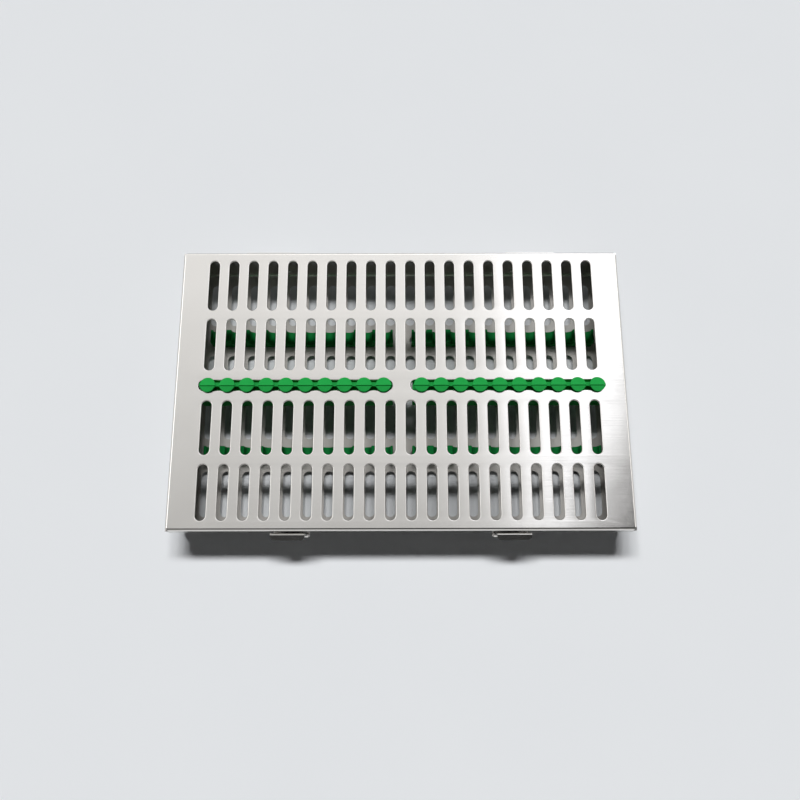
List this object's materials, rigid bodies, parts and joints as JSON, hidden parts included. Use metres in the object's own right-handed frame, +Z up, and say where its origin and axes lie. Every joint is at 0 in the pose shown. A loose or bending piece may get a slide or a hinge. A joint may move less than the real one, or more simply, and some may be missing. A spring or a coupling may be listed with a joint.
{
  "type": "dental instrument cassette",
  "caption": "Perforated stainless steel case with a hinged lid, silicone cushion strips and two latches, holding dental hand instruments for cleaning and sterilising.",
  "frame": {"origin": "on the table, under the middle of the closed case's box", "axes": "+X to the right, -Y the front with the latches, +Z up through the lid"},
  "size_m": [0.283, 0.1904, 0.0362],
  "materials": {
    "steel": "satin rolled stainless sheet",
    "pin_steel": "smooth drawn stainless wire",
    "silicone": "semi-matte moulded green silicone"
  },
  "bodies": {
    "base": {"base_tray": "steel", "base_strip_front_left": "silicone", "base_strip_back_left": "silicone", "base_strip_front_right": "silicone", "base_strip_back_right": "silicone", "hinge_base_leaf_left": "steel", "hinge_pin_left": "pin_steel", "hinge_base_rivet_left_1": "pin_steel", "hinge_base_rivet_left_2": "pin_steel", "latch_bracket_left": "steel", "latch_pin_left": "pin_steel", "latch_rivet_left_1": "pin_steel", "latch_rivet_left_2": "pin_steel", "hinge_base_leaf_right": "steel", "hinge_pin_right": "pin_steel", "hinge_base_rivet_right_1": "pin_steel", "hinge_base_rivet_right_2": "pin_steel", "latch_bracket_right": "steel", "latch_pin_right": "pin_steel", "latch_rivet_right_1": "pin_steel", "latch_rivet_right_2": "pin_steel"},
    "lid": {"lid_panel": "steel", "lid_strip_left": "silicone", "lid_strip_right": "silicone", "hinge_lid_leaf_left": "steel", "hinge_lid_rivet_left_1": "pin_steel", "hinge_lid_rivet_left_2": "pin_steel", "hinge_lid_leaf_right": "steel", "hinge_lid_rivet_right_1": "pin_steel", "hinge_lid_rivet_right_2": "pin_steel"},
    "latch_left": {"latch_left": "steel"},
    "latch_right": {"latch_right": "steel"}
  },
  "joints": [
    {"name": "lid_hinge", "type": "hinge", "parent": "base", "child": "lid", "pos_m": [0, 0.093, 0.0184], "axis": [-1, 0, 0], "range_deg": [0, 180]},
    {"name": "latch_left_pivot", "type": "hinge", "parent": "base", "child": "latch_left", "pos_m": [-0.0685, -0.0903, 0.0086], "axis": [1, 0, 0], "range_deg": [0, 90]},
    {"name": "latch_right_pivot", "type": "hinge", "parent": "base", "child": "latch_right", "pos_m": [0.0685, -0.0903, 0.0086], "axis": [1, 0, 0], "range_deg": [0, 90]}
  ]
}
